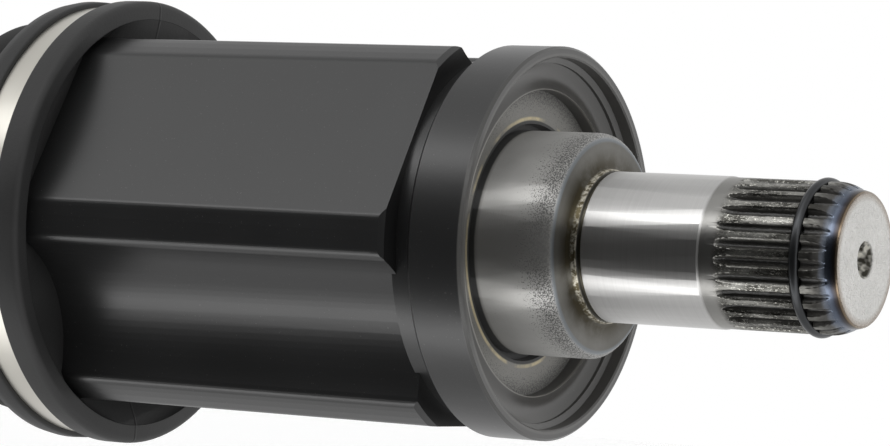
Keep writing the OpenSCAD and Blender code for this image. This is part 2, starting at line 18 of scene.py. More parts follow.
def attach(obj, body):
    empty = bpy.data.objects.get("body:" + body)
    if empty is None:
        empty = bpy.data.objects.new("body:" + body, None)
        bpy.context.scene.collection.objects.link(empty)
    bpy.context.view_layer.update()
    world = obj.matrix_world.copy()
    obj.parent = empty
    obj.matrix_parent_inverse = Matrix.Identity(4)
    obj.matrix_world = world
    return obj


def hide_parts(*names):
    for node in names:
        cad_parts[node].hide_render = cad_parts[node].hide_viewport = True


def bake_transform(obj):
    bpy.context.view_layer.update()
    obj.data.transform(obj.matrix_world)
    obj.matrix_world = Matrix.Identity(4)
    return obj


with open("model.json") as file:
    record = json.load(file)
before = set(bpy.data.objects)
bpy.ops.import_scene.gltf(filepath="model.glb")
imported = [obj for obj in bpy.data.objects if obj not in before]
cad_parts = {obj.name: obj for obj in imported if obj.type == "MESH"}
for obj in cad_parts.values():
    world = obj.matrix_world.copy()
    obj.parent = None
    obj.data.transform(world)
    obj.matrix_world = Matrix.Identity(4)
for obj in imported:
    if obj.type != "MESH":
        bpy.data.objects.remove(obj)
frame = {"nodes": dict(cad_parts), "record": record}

scene = bpy.context.scene
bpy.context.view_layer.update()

# %% [markdown]
# ## Camera
# The photograph is a close look at the gearbox end, from the side and a little in front, with a
# long lens. Its rims were measured as ellipses, which gives the camera's place in metres from the
# middle of the ground seat. Round rims don't tell how far the shaft is turned about its own axis,
# so that last angle comes from the lobes' corners, and the camera and the light go round by it. A
# camera looks along its own -Z, so its matrix is made from the directions right, up and backwards.

# %% Camera
shaft_turn = math.radians(-0.9)
round_shaft = Matrix.Rotation(shaft_turn, 3, "X")
camera_place = round_shaft @ Vector((0.3445, -0.6731, -0.0192))
looks_along = round_shaft @ Vector((-0.5075, 0.8612, 0.0285)).normalized()
to_the_right = round_shaft @ Vector((0.8606, 0.5050, 0.0665)).normalized()
upwards = to_the_right.cross(looks_along).normalized()
to_the_right = looks_along.cross(upwards)

lens = bpy.data.cameras.new("studio_lens")
lens.lens = 155.4
lens.sensor_width = 36.0
lens.clip_start = 0.05
lens.clip_end = 50.0
camera = bpy.data.objects.new("studio_camera", lens)
scene.collection.objects.link(camera)
turn = Matrix((to_the_right, upwards, -looks_along)).transposed()
camera.matrix_world = Matrix.Translation(camera_place) @ turn.to_4x4()
scene.camera = camera
print("camera stands", round(camera_place.length, 3), "m from the seat")


# %% [markdown]
# ## Wiring nodes
# Materials, the world and Geometry Nodes are all graphs. One small function adds a node and fills
# its inputs, where a value that is itself a socket becomes a link. Blender's Mix node keeps its
# numbers and colours in different inputs under the same names, so the function picks the right ones.

# %% Helpers for graphs
MIX_INPUTS = {"FLOAT": {"Factor": 0, "A": 2, "B": 3}, "RGBA": {"Factor": 0, "A": 6, "B": 7}}


def add(tree, kind, values=(), **settings):
    """Adds a node. values maps input names or numbers to a value, or to a socket to link."""
    node = tree.nodes.new(kind)
    for key, value in settings.items():
        setattr(node, key, value)
    for key, value in dict(values).items():
        if kind == "ShaderNodeMix":
            key = MIX_INPUTS[node.data_type][key]
        if isinstance(value, bpy.types.NodeSocket):
            tree.links.new(value, node.inputs[key])
        else:
            node.inputs[key].default_value = value
    return node


def ramp(tree, value, stops):
    """Looks a value up in a list of (position, grey or colour) stops."""
    node = add(tree, "ShaderNodeValToRGB", {"Fac": value})
    marks = node.color_ramp.elements
    while len(marks) < len(stops):
        marks.new(1.0)
    for mark, (at, colour) in zip(marks, stops):
        mark.position = at
        mark.color = (*(colour if isinstance(colour, tuple) else (colour,) * 3), 1.0)
    return node.outputs["Color"]


# %% [markdown]
# ## Studio
# Black paint and bare steel show mostly what they reflect, so the room matters more than the
# lamps. The part stands in a white tent that is dark only round the camera, with a bright strip
# above and below the dark part. All of that is a ring of grey values round the shaft's axis, so
# the world computes the angle round X and looks the brightness up. The camera itself sees white.

# %% The white tent
tent_full = 4.0
ends_grey, ends_from, ends_to = (0.2, 0.2, 0.2, 1.0), 0.86, 0.99
below = [
    (-180, 0.95), (-120, 0.76), (-105, 0.68), (-94, 0.60), (-84, 0.66), (-75, 0.80),
    (-69, 1.1), (-65, 2.5), (-54, 2.5), (-49, 1.15), (-43, 0.20), (-33, 0.07), (-8, 0.045),
]
above = [
    (10, 0.050), (23, 0.09), (33, 0.22), (38.5, 1.1), (42.5, 2.6), (52.0, 2.6), (57.0, 1.0),
    (63, 0.76), (72, 0.68), (90, 0.64), (121, 0.70), (142, 0.82), (180, 0.95),
]
world = bpy.data.worlds.new("white_tent")
scene.world = world
world.use_nodes = True
tent = world.node_tree
tent.nodes.clear()
way = add(tent, "ShaderNodeTexCoord").outputs["Generated"]
way = add(tent, "ShaderNodeSeparateXYZ", {0: way}).outputs
front = add(tent, "ShaderNodeMath", {0: way["Y"], 1: -1.0}, operation="MULTIPLY").outputs[0]
angle = add(tent, "ShaderNodeMath", {0: way["Z"], 1: front}, operation="ARCTAN2").outputs[0]
angle = add(tent, "ShaderNodeMath", {0: angle, 1: shaft_turn}).outputs[0]
share = add(tent, "ShaderNodeMapRange", {"Value": angle, "From Min": -math.pi, "From Max": math.pi})
grey = ramp(tent, share.outputs[0], [((a + 180) / 360, g / tent_full) for a, g in below + above])
endways = add(tent, "ShaderNodeMath", {0: way["X"]}, operation="ABSOLUTE").outputs[0]
endways = add(tent, "ShaderNodeMapRange", {"Value": endways, "From Min": ends_from, "From Max": ends_to})
grey = {"Factor": endways.outputs[0], "A": grey, "B": ends_grey}
grey = add(tent, "ShaderNodeMix", grey, data_type="RGBA")
seen = add(tent, "ShaderNodeLightPath").outputs["Is Camera Ray"]
room = add(tent, "ShaderNodeBackground", {"Color": grey.outputs["Result"], "Strength": tent_full})
white = add(tent, "ShaderNodeBackground", {"Color": (1, 1, 1, 1), "Strength": 1.0})
tent_light = add(tent, "ShaderNodeMixShader", {0: seen, 1: room.outputs[0], 2: white.outputs[0]})
add(tent, "ShaderNodeOutputWorld", {"Surface": tent_light.outputs[0]})

# %% [markdown]
# The floor is a plain pale sheet a good way below the shaft, so that the wheel end can swing
# without touching it. Only the camera sees it: light from the tent passes through it, because the
# tent already holds what a white table would throw back. It glows faintly, so that it comes out as
# white as the room behind it.

# %% Floor and lamp
floor_drop, floor_reach = 0.30, 6.0
floor_corners = ((-1, -1), (1, -1), (1, 1), (-1, 1))
floor_corners = [(x * floor_reach, y * floor_reach, -floor_drop) for x, y in floor_corners]
floor_mesh = bpy.data.meshes.new("floor")
floor_mesh.from_pydata(floor_corners, [], [(0, 1, 2, 3)])
floor = bpy.data.objects.new("floor", floor_mesh)
scene.collection.objects.link(floor)
floor_finish = bpy.data.materials.new("pale_floor")
floor_finish.use_nodes = True
for socket, value in (("Base Color", (0.97, 0.97, 0.97, 1)), ("Roughness", 0.9),
                      ("Emission Color", (1, 1, 1, 1)), ("Emission Strength", 0.16)):
    floor_finish.node_tree.nodes["Principled BSDF"].inputs[socket].default_value = value
floor_mesh.materials.append(floor_finish)
floor.visible_diffuse = floor.visible_glossy = floor.visible_transmission = floor.visible_shadow = False

soft_light = bpy.data.lights.new("soft_box", "AREA")
soft_light.shape = "RECTANGLE"
soft_light.size, soft_light.size_y = 1.2, 0.5
soft_light.energy = 1.2
soft_box = bpy.data.objects.new("soft_box", soft_light)
soft_box.location = (-0.1, -0.5, 0.95)
soft_box.rotation_euler = Vector((0.0, 0.5, -0.95)).to_track_quat("-Z", "X").to_euler()
scene.collection.objects.link(soft_box)
scene.view_settings.view_transform = "Standard"
print("tent, floor and lamp are up")

# %% [markdown]
# ## Finishes
# Every finish is computed from the place on the part in metres, so scratches and specks keep
# their real size. The class below wires one material; each method adds a node or two and returns
# the socket that carries the result.


# %% A class that wires a finish
class Finish:
    def __init__(self, name, colour=(0.5, 0.5, 0.5), rough=0.5, metal=0.0):
        self.material = bpy.data.materials.new(name)
        self.material.use_nodes = True
        self.tree = self.material.node_tree
        self.shader = self.tree.nodes["Principled BSDF"]
        self.set("Base Color", (*colour, 1.0))
        self.set("Roughness", rough)
        self.set("Metallic", metal)
        self.place = add(self.tree, "ShaderNodeTexCoord").outputs["Object"]
        split = add(self.tree, "ShaderNodeSeparateXYZ", {0: self.place}).outputs
        self.x, self.y, self.z = split["X"], split["Y"], split["Z"]
        y_squared, z_squared = (self.math("MULTIPLY", side, side) for side in (self.y, self.z))
        self.radius = self.math("SQRT", self.math("ADD", y_squared, z_squared))

    def set(self, socket, value):
        if isinstance(value, bpy.types.NodeSocket):
            self.tree.links.new(value, self.shader.inputs[socket])
        else:
            self.shader.inputs[socket].default_value = value

    def math(self, how, a, b=0.0, c=0.0):
        return add(self.tree, "ShaderNodeMath", {0: a, 1: b, 2: c}, operation=how).outputs[0]

    def noise(self, scale, detail=3.0, rough=0.55, stretch=(1, 1, 1)):
        at = add(self.tree, "ShaderNodeVectorMath", {0: self.place, 1: stretch}, operation="MULTIPLY")
        values = {"Vector": at.outputs[0], "Scale": scale, "Detail": detail, "Roughness": rough}
        return add(self.tree, "ShaderNodeTexNoise", values).outputs["Fac"]

    def rise(self, value, low, high):
        """0 on low's side, 1 on high's side, and an even slope between them."""
        values = {"Value": value, "From Min": low, "From Max": high}
        return add(self.tree, "ShaderNodeMapRange", values).outputs[0]

    def near(self, value, middle, reach):
        """1 at the middle, falling to 0 at that reach on both sides."""
        away = self.math("ABSOLUTE", self.math("SUBTRACT", value, middle))
        return self.rise(away, reach, reach * 0.35)

    def blend(self, share, a, b, kind="FLOAT"):
        """Between two numbers: a where share is 0, and b where it is 1."""
        values = {"Factor": share, "A": a, "B": b}
        return add(self.tree, "ShaderNodeMix", values, data_type=kind).outputs["Result"]

    def mix(self, share, a, b):
        """Between two colours."""
        a, b = ((*v, 1.0) if isinstance(v, tuple) else v for v in (a, b))
        return self.blend(share, a, b, "RGBA")

    def bump(self, height, depth, onto=None):
        values = {"Height": height, "Distance": depth, "Strength": 1.0}
        if onto is not None:
            values["Normal"] = onto
        return add(self.tree, "ShaderNodeBump", values).outputs["Normal"]


# %% [markdown]
# ### Black paint
# The forgings are dipped in a thin satin black paint. Up close it has a faint orange-peel skin,
# dust-sized pale specks, and patches that are a touch duller. Where a part is also machined, the
# paint stops and bare steel starts, so the paint is a function that other finishes can mix in.


# %% Paint
def paint(f, tone=0.008):
    """Colour, roughness and bump of the black paint on a finish that is being wired."""
    patches = f.noise(35.0, 2.0)
    specks = f.rise(f.noise(2600.0, 1.0), 0.735, 0.78)
    colour = f.mix(patches, (tone * 0.85, tone * 0.86, tone * 0.87), (tone * 1.5, tone * 1.52, tone * 1.56))
    colour = f.mix(f.math("MULTIPLY", specks, 0.35), colour, (0.20, 0.20, 0.19))
    rough = f.math("ADD", f.math("MULTIPLY", patches, 0.08), 0.28)
    skin = f.bump(f.noise(800.0, 2.0), 0.00001)
    return colour, rough, skin


def painted(name, painted_sheen=None):
    """A painted finish; the optional second argument makes a mask of places painted lighter, as painted
    reflection and highlight.
    """
    f = Finish(name)
    colour, rough, skin = paint(f)
    if painted_sheen:
        # painted reflection and highlight: the masked places are mixed towards a lighter grey
        colour = f.mix(painted_sheen(f), colour, (0.30, 0.29, 0.27))
    for socket, value in zip(("Base Color", "Roughness", "Normal"), (colour, rough, skin)):
        f.set(socket, value)
    f.set("IOR", 1.68)
    return f


def ring_painted_sheen(f):
    """The dust ring is painted grey inside its rim and on its front face as painted reflection, and the
    edge of its hole carries a painted highlight.
    """
    # painted reflection on the web and the front face, painted highlight along the hole's edge
    inside = f.math("MULTIPLY", f.rise(f.radius, 0.0386, 0.0380), 0.26)
    front = f.math("MULTIPLY", f.rise(f.x, -0.0262, -0.0258), 0.14)
    edge = f.math("MULTIPLY", f.near(f.radius, 0.0308, 0.0003), f.rise(f.x, -0.0302, -0.0297))
    return f.math("MAXIMUM", edge, f.math("MAXIMUM", inside, front))


ring_paint = painted("satin_paint_ring", ring_painted_sheen)

# %% [markdown]
# ### Bare steel
# Turned and ground faces keep fine rings round the axis, which show as streaks across a
# reflection. Stretching a noise so that it changes fast along X and slowly round the shaft gives
# such rings on every diameter.


# %% Turning marks
def steel(name, colour, rough, pitch=0.00012, depth=0.0000025):
    """Turned steel with fine rings round the shaft, this far apart and this deep."""
    f = Finish(name, colour, rough, 1.0)
    f.set("Normal", f.bump(f.noise(1.0, 2.0, stretch=(1 / pitch, 30, 30)), depth))
    f.set("Roughness", f.math("ADD", f.math("MULTIPLY", f.noise(120.0, 4.0), 0.14), rough - 0.06))
    return f


bearing_steel = steel("ground_bearing_steel", (0.60, 0.60, 0.61), 0.22)
oily = bearing_steel.noise(180.0, 4.0)
bearing_steel.set("Base Color", bearing_steel.mix(oily, (0.62, 0.61, 0.60), (0.46, 0.43, 0.37)))
spring_steel = steel("drawn_spring_steel", (0.36, 0.36, 0.38), 0.3)
black_wire = steel("phosphated_wire", (0.062, 0.064, 0.067), 0.30)

# %% [markdown]
# ### The gearbox stub
# One forging carries several finishes. The housing is painted. The rest is turned: dull oiled steel
# on the neck and the boss, a bright ground seat, and a spline dark with old grease, up to a nose
# that turned blue when it was hardened. The turned part is one material made of layers. Each layer
# is a colour and a mask, and the masks follow known places along X and radii.
#
# Turning leaves grooves round the axis, and they smear a reflection across themselves: along X on a
# cylinder, outwards on an end face. Anisotropy with a tangent round X does just that, so a light
# strip runs the whole length of the boss instead of showing as a spot.

# %% Turned steel
painted_housing = painted("painted_housing")
stub = Finish("turned_stub")
round_x = add(stub.tree, "ShaderNodeTangent", direction_type="RADIAL", axis="X").outputs[0]
stub.set("Tangent", round_x)
stub.set("Anisotropic", 1.0)
stub.set("Anisotropic Rotation", 0.25)
ragged = stub.math("MULTIPLY", stub.math("SUBTRACT", stub.noise(420.0, 5.0, 0.65), 0.5), 0.0016)
loose_x = stub.math("ADD", stub.x, ragged)
bare = stub.rise(loose_x, -0.0340, -0.0332)
speckle = stub.noise(3400.0, 2.0, 0.7)
worn = stub.noise(90.0, 5.0, 0.6)


def both(*masks):
    """Where every mask holds."""
    product = masks[0]
    for mask in masks[1:]:
        product = stub.math("MULTIPLY", product, mask)
    return product


# %% [markdown]
# The neck's face and the boss are turned and left oily. Stray paint lies on them as a fine stipple,
# thickest along the boss's rounded edge. That edge itself is rubbed to a thin grey-blue line. Where the
# face meets the seat there is a brown stained fillet, a golden crinkled lip whose bright crinkles are
# partly a painted highlight, and a dark groove.

# %% Neck and boss
coat = stub.mix(worn, (0.50, 0.495, 0.48), (0.37, 0.365, 0.35))
neck_face = stub.rise(stub.x, -0.0312, -0.0320)
coat = stub.mix(neck_face, coat, (0.26, 0.255, 0.24))
crinkled = stub.rise(stub.noise(900.0, 4.0, 0.65), 0.44, 0.58)
gap_rim = both(neck_face, stub.near(stub.radius, 0.0249, 0.0005), stub.rise(worn, 0.42, 0.55))
coat = stub.mix(gap_rim, coat, (0.62, 0.54, 0.36))
boss_edge = both(stub.rise(stub.x, -0.0245, -0.0175), stub.rise(stub.radius, 0.0208, 0.0219))
stipple_here = stub.math("MAXIMUM", boss_edge, both(neck_face, stub.rise(stub.radius, 0.0235, 0.0300)))
stipple = stub.rise(stub.math("ADD", speckle, stub.math("MULTIPLY", stipple_here, 0.24)), 0.70, 0.76)
stipple = both(stipple, stub.rise(stub.x, -0.0128, -0.0134))
coat = stub.mix(both(stipple, 0.85), coat, (0.030, 0.030, 0.028))
# The undercut behind the boss is coloured near black and not metal: some black paint, and painted shade in
# the undercut.
undercut_paint_and_shade = both(stub.rise(stub.x, -0.0318, -0.0321), stub.rise(stub.radius, 0.0246, 0.0244))
coat = stub.mix(undercut_paint_and_shade, coat, (0.008, 0.008, 0.007))

# %% Boss face, lip and groove
on_face = both(stub.rise(stub.x, -0.01535, -0.01522), stub.rise(stub.x, -0.0128, -0.0134))
coat = stub.mix(on_face, coat, stub.mix(worn, (0.25, 0.245, 0.23), (0.12, 0.115, 0.10)))
rubbed = both(stub.near(stub.x, -0.0153, 0.00045), stub.near(stub.radius, 0.0212, 0.0006))
coat = stub.mix(both(rubbed, 0.7), coat, (0.24, 0.265, 0.29))
face_stain = both(stub.near(stub.x, -0.0146, 0.0012), stub.rise(stub.radius, 0.0196, 0.0164),
                  stub.rise(worn, 0.30, 0.50))
coat = stub.mix(both(face_stain, 0.9), coat, (0.055, 0.045, 0.024))
# golden lip: the tint is its own, the bright crinkles are partly a painted highlight
lip = both(stub.near(stub.x, -0.0138, 0.0008), stub.near(stub.radius, 0.0155, 0.00060))
coat = stub.mix(lip, coat, stub.mix(crinkled, (0.16, 0.135, 0.08), (0.82, 0.78, 0.66)))
in_groove = both(stub.near(stub.x, -0.0130, 0.00062), stub.rise(stub.radius, 0.0150, 0.0146))
coat = stub.mix(in_groove, coat, (0.13, 0.12, 0.09))

# %% [markdown]
# The seat is ground, so its streaks run round it and are very fine. Past it comes a collar that was only
# turned, then the spline. Grease fills the grooves and smears the lands, and hard bits of it sparkle. The
# nose shows the colours of heat: blue, then a thin straw line. The end face is pale and nearly matt, with
# bright and dark cut marks in its centre hole, and painted shade at the hole's point.

# %% Ground seat
streaks = stub.noise(1.0, 3.0, stretch=(5000, 40, 40))
on_seat = stub.rise(stub.x, -0.0127, -0.0123)
ground = stub.mix(streaks, (0.66, 0.655, 0.645), (0.55, 0.545, 0.535))
steel_colour = stub.mix(on_seat, coat, ground)
on_collar = stub.rise(stub.x, 0.0128, 0.0132)
steel_colour = stub.mix(on_collar, steel_colour, (0.36, 0.355, 0.34))

# %% Grease on the spline
on_spline = stub.rise(stub.x, 0.0156, 0.0172)
deep = stub.rise(stub.radius, 0.01468, 0.0141)
soot = stub.rise(stub.noise(300.0, 5.0, 0.7, stretch=(0.3, 1, 1)), 0.40, 0.56)
land = stub.mix(soot, (0.38, 0.375, 0.35), (0.075, 0.073, 0.065))
steel_colour = stub.mix(on_spline, steel_colour, land)
hard_bits = stub.rise(stub.noise(3600.0, 3.0, 0.7, stretch=(0.5, 1, 1)), 0.57, 0.62)
sparks = both(on_spline, hard_bits, stub.rise(stub.x, 0.0340, 0.0300))
steel_colour = stub.mix(sparks, steel_colour, (0.70, 0.69, 0.63))
dirt = both(deep, on_spline, stub.rise(stub.x, 0.0392, 0.0382))
steel_colour = stub.mix(both(dirt, 0.92), steel_colour, (0.022, 0.021, 0.019))

# %% Heat colours and the end face
loose_nose = stub.math("ADD", stub.x, stub.math("MULTIPLY", ragged, 0.5))
smoked = both(stub.rise(loose_nose, 0.0335, 0.0375), 0.75)
steel_colour = stub.mix(smoked, steel_colour, (0.060, 0.057, 0.053))
blued = stub.rise(loose_nose, 0.0380, 0.0394)
steel_colour = stub.mix(blued, steel_colour, (0.066, 0.074, 0.100))
glint = both(stub.near(loose_nose, 0.0391, 0.0012), 0.28)
steel_colour = stub.mix(glint, steel_colour, (0.30, 0.36, 0.46))
pale = stub.mix(stub.noise(650.0, 4.0, 0.65), (1.0, 0.99, 0.965), (0.80, 0.79, 0.76))
warm_rim = stub.rise(stub.radius, 0.0112, 0.0128)
pale = stub.mix(both(warm_rim, 0.8), pale, (0.46, 0.38, 0.31))
steel_colour = stub.mix(stub.rise(loose_nose, 0.0401, 0.0410), steel_colour, (0.060, 0.046, 0.034))
steel_colour = stub.mix(stub.rise(stub.x, 0.0410, 0.0412), steel_colour, (0.26, 0.20, 0.14))
end_face = both(stub.rise(stub.x, 0.0365, 0.0367), stub.rise(stub.radius, 0.0130, 0.01275))
steel_colour = stub.mix(end_face, steel_colour, pale)
drilled = both(end_face, stub.rise(stub.radius, 0.0038, 0.0034), stub.rise(stub.x, 0.0413, 0.0411))
cut_marks = stub.rise(stub.noise(750.0, 1.0, 0.5), 0.42, 0.62)
cut_colour = stub.mix(cut_marks, (0.11, 0.105, 0.085), (0.95, 0.93, 0.86))
# painted shade: the point of the centre hole is coloured nearly black
cut_colour = stub.mix(stub.rise(stub.radius, 0.0010, 0.0022), (0.03, 0.028, 0.024), cut_colour)
steel_colour = stub.mix(drilled, steel_colour, cut_colour)

# %% [markdown]
# Dirt and paint aren't metal, so they take the metal away. On the boss the surface also leans a
# little towards the front, which lengthens the light strips there.

# %% Putting the layers on the shader
stub.set("Base Color", stub.mix(bare, (0.012, 0.012, 0.012), steel_colour))
clean = stub.math("SUBTRACT", 1.0, stub.math("MAXIMUM", undercut_paint_and_shade, stub.math("MAXIMUM", dirt, stipple)))
chalky = both(stub.math("SUBTRACT", end_face, drilled), 0.65)
stub.set("Metallic", both(bare, clean, stub.math("SUBTRACT", 1.0, chalky)))
stub.set("IOR", 1.6)
steel_rough = stub.blend(on_seat, stub.math("ADD", stub.math("MULTIPLY", worn, 0.08), 0.38), 0.34)
steel_rough = stub.blend(on_collar, steel_rough, 0.42)
steel_rough = stub.blend(both(on_spline, stub.rise(stub.x, 0.0392, 0.0382)), steel_rough, 0.42)
steel_rough = stub.blend(blued, steel_rough, 0.24)
steel_rough = stub.blend(end_face, steel_rough, 0.80)
stub.set("Roughness", stub.blend(bare, 0.4, steel_rough))
on_boss = both(stub.rise(stub.x, -0.0160, -0.0172), stub.rise(stub.radius, 0.0240, 0.0235))
lean = add(stub.tree, "ShaderNodeCombineXYZ", {0: both(on_boss, 0.48)}).outputs[0]
upright = add(stub.tree, "ShaderNodeNewGeometry").outputs["Normal"]
leaning = add(stub.tree, "ShaderNodeVectorMath", {0: upright, 1: lean}, operation="ADD").outputs[0]
leaning = add(stub.tree, "ShaderNodeVectorMath", {0: leaning}, operation="NORMALIZE").outputs[0]
grooves = both(stub.noise(1.0, 2.0, stretch=(7000, 30, 30)), stub.blend(on_boss, 1.0, 8.0))
lathe = stub.bump(grooves, 0.0000022, leaning)
pits = stub.math("ADD", both(dirt, 2.0), both(stub.math("SUBTRACT", end_face, drilled), 12.0))
pits = stub.math("ADD", pits, both(drilled, 3.0))
stub.set("Normal", stub.bump(both(stub.noise(1500.0, 3.0), pits), 0.00008, lathe))
print("turned steel:", len(stub.tree.nodes), "nodes")

# %% [markdown]
# ### Rubber, bands, bar, bell and nut
# The boots are black neoprene with a dull skin and a faint grey bloom. Their bands are plain
# stainless strip. The bar and the bell are painted like the housing, and the stub axle is left
# bare behind the bearing's shoulder.

# %% Rubber
rubber = Finish("moulded_rubber", (0.02, 0.02, 0.02), 0.6)
bloom = rubber.noise(60.0, 5.0, 0.6)
rubber.set("Base Color", rubber.mix(bloom, (0.013, 0.013, 0.013), (0.030, 0.030, 0.030)))
rubber.set("Roughness", rubber.math("ADD", rubber.math("MULTIPLY", bloom, 0.2), 0.46))
mould_line = rubber.near(rubber.y, 0.0, 0.0004)
rubber_skin = rubber.math("ADD", rubber.noise(1400.0, 3.0), rubber.math("MULTIPLY", mould_line, 5.0))
rubber.set("Normal", rubber.bump(rubber_skin, 0.00004))

# %% Bands and nut
band = steel("stainless_band", (0.66, 0.64, 0.585), 0.34, 0.0002, 0.000002)
zinc = Finish("zinc_plate", (0.60, 0.60, 0.57), 0.34, 1.0)
zinc.set("Base Color", zinc.mix(zinc.noise(150.0, 4.0), (0.64, 0.63, 0.60), (0.50, 0.50, 0.47)))
zinc.set("Normal", zinc.bump(zinc.noise(700.0, 2.0), 0.00001))

# %% Bar and bell
bar_paint = painted("satin_paint_bar")
bell = Finish("painted_bell")
bell_colour, bell_rough, bell_skin = paint(bell)
paint_edge = bell.math("ADD", bell.x, bell.math("MULTIPLY", bell.noise(400.0, 4.0), 0.001))
turned_end = bell.rise(paint_edge, -0.4925, -0.4935)
bell.set("Base Color", bell.mix(turned_end, bell_colour, (0.52, 0.51, 0.50)))
bell.set("Metallic", turned_end)
bell.set("Roughness", bell.blend(turned_end, bell_rough, 0.28))
bell.set("Normal", bell_skin)

# %% [markdown]
# ### Putting the finishes on the CAD pieces
# The record groups the nodes by material slot, so one finish per slot dresses everything.

# %% Dress the nodes
finish_of = {
    "housing_paint": painted_housing, "ring_paint": ring_paint,
    "boot_insert": rubber, "boot_rubber": rubber, "band_steel": band,
    "spring_steel": spring_steel, "spring_steel_black": black_wire, "bearing_steel": bearing_steel,
    "shaft_paint": bar_paint, "bell_paint": bell, "nut_zinc": zinc,
}
for part in frame["record"]["subparts"]:
    piece = frame["nodes"][part["node"]]
    piece.data.materials.clear()
    piece.data.materials.append(finish_of[part["material_slot"]].material)

# %% [markdown]
# ## Smooth skins for the turned parts
# The CAD model's surfaces arrive as small flat triangles. A polished shaft shows every one of
# them, so each outer part gets a skin: a copy of its mesh with the shared corners welded, smooth
# shading, and sharp edges wherever two faces meet at more than a set angle. A long face next to a
# small rounded edge would take on the edge's slope, so rings of extra points are cut in beside such
# edges. The skin stands for the node, and the copy rides on the same body.


# %% Skins
bodies = frame["record"]["behaviour"]["bodies"]
body_of = {node: body for body, members in bodies.items() for node in members}


def link(name, mesh):
    piece = bpy.data.objects.new(name, mesh)
    scene.collection.objects.link(piece)
    return piece


def soften(shape, crease):
    """Smooth shading, with sharp edges above this angle in degrees."""
    for face in shape.faces:
        face.smooth = True
    for edge in shape.edges:
        edge.smooth = len(edge.link_faces) == 2 and edge.calc_face_angle() < math.radians(crease)


def cut(shape, x, **how):
    """Cuts the mesh across at this place along X."""
    everything = shape.verts[:] + shape.edges[:] + shape.faces[:]
    bmesh.ops.bisect_plane(shape, geom=everything, plane_co=(x, 0, 0), **how)


def skin(node, crease=32.0, keep=(None, None), rings=(), name=None):
    """A welded, smooth copy of a CAD node, or only what lies between two places along X, closed."""
    mesh = frame["nodes"][node].data.copy()
    mesh.name = name or node + "_skin"
    shape = bmesh.new()
    shape.from_mesh(mesh)
    bmesh.ops.remove_doubles(shape, verts=shape.verts, dist=0.000002)
    for x in rings:
        cut(shape, x, plane_no=(1, 0, 0))
    for x, outwards in zip(keep, (-1, 1)):
        if x is not None:
            cut(shape, x, plane_no=(outwards, 0, 0), clear_outer=True)
            bmesh.ops.contextual_create(shape, geom=[e for e in shape.edges if e.is_boundary])
    soften(shape, crease)
    shape.to_mesh(mesh)
    shape.free()
    piece = link(mesh.name, mesh)
    even = piece.modifiers.new("even_normals", "WEIGHTED_NORMAL")
    even.keep_sharp = True
    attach(piece, body_of[node])
    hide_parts(node)
    return piece


paint_stop, spline_cut = -0.0350, 0.0145
lobe_ends, boss_and_seat = (-0.1425, -0.0445), (-0.0342, -0.0176, -0.0118, 0.0126)
skin("inner_housing", 26.0, (None, paint_stop), lobe_ends, "painted_housing_skin")
stub_skin = skin("inner_housing", 26.0, (paint_stop, spline_cut), boss_and_seat, "stub_skin")
stub_skin.data.materials.clear()
stub_skin.data.materials.append(stub.material)
for node in ("dust_ring", "stub_circlip", "inner_boot_large_clamp", "inner_boot_small_clamp", "bar",
             "outer_race", "outer_boot_large_clamp", "outer_boot_small_clamp", "axle_nut"):
    skin(node)

# The moulded insert's face falls back a little from the boot's flange towards the housing.
insert_face, insert_flat, insert_fall = -0.1256, 0.0426, 0.0022
for point in skin("boot_adaptor").data.vertices:
    if point.co.x > insert_face and point.co.yz.length < insert_flat:
        point.co.x -= insert_fall
print("skins on", body_of["inner_housing"], "and others")

# %% [markdown]
# ## Stub spline
# The teeth are hobbed: a rotating cutter makes the grooves and lifts out in an arc, which leaves
# each groove with a spoon-shaped end. The nose is then turned to a soft curve that cuts off the
# grooves' far ends in points. Both come from one rule for the radius, so one pitch is built as a
# strip of grid, and a tree repeats it round the shaft.


# %% One pitch of the spline
teeth, tip_r, root_r = 27, 0.0148, 0.01355
pitch_angle = 2 * math.pi / teeth
stub_end, clip_x, clip_half, clip_floor = 0.0414, 0.0331, 0.0011, 0.01295
groove_start, groove_full = 0.0163, 0.0205


def floor_radius(x):
    """Depth of the groove's floor: the arc that the cutter leaves, then the full depth."""
    t = min(1.0, max(0.0, (x - groove_start) / (groove_full - groove_start)))
    return tip_r + 0.0001 - (tip_r + 0.0001 - root_r) * math.sqrt(1 - (1 - t) ** 2)


nose_curve = [(0.0060, 0.0), (0.0052, 0.00007), (0.0045, 0.0002), (0.0037, 0.00042), (0.0030, 0.0007),
              (0.0024, 0.00102), (0.0020, 0.00125), (0.0010, 0.00145), (0.0003, 0.00165), (0.0, 0.0019)]


def nose_radius(x):
    """The nose's turned curve: pairs of distance from the end face and drop in radius."""
    back = stub_end - x
    for (far, high), (close, low) in zip(nose_curve, nose_curve[1:]):
        if far >= back >= close:
            return tip_r - high - (low - high) * (far - back) / (far - close)
    return tip_r


def spline_radius(x, share):
    """Radius at a place along X and a share of a pitch from -0.5 to 0.5, with the groove at 0."""
    off = abs(share) * pitch_angle * tip_r
    half_floor, slope = 0.00040, 1.69
    rise = max(0.0, off - half_floor) * slope + 0.00006 * min(1.0, off / half_floor) ** 2
    return min(nose_radius(x), floor_radius(x) + rise)


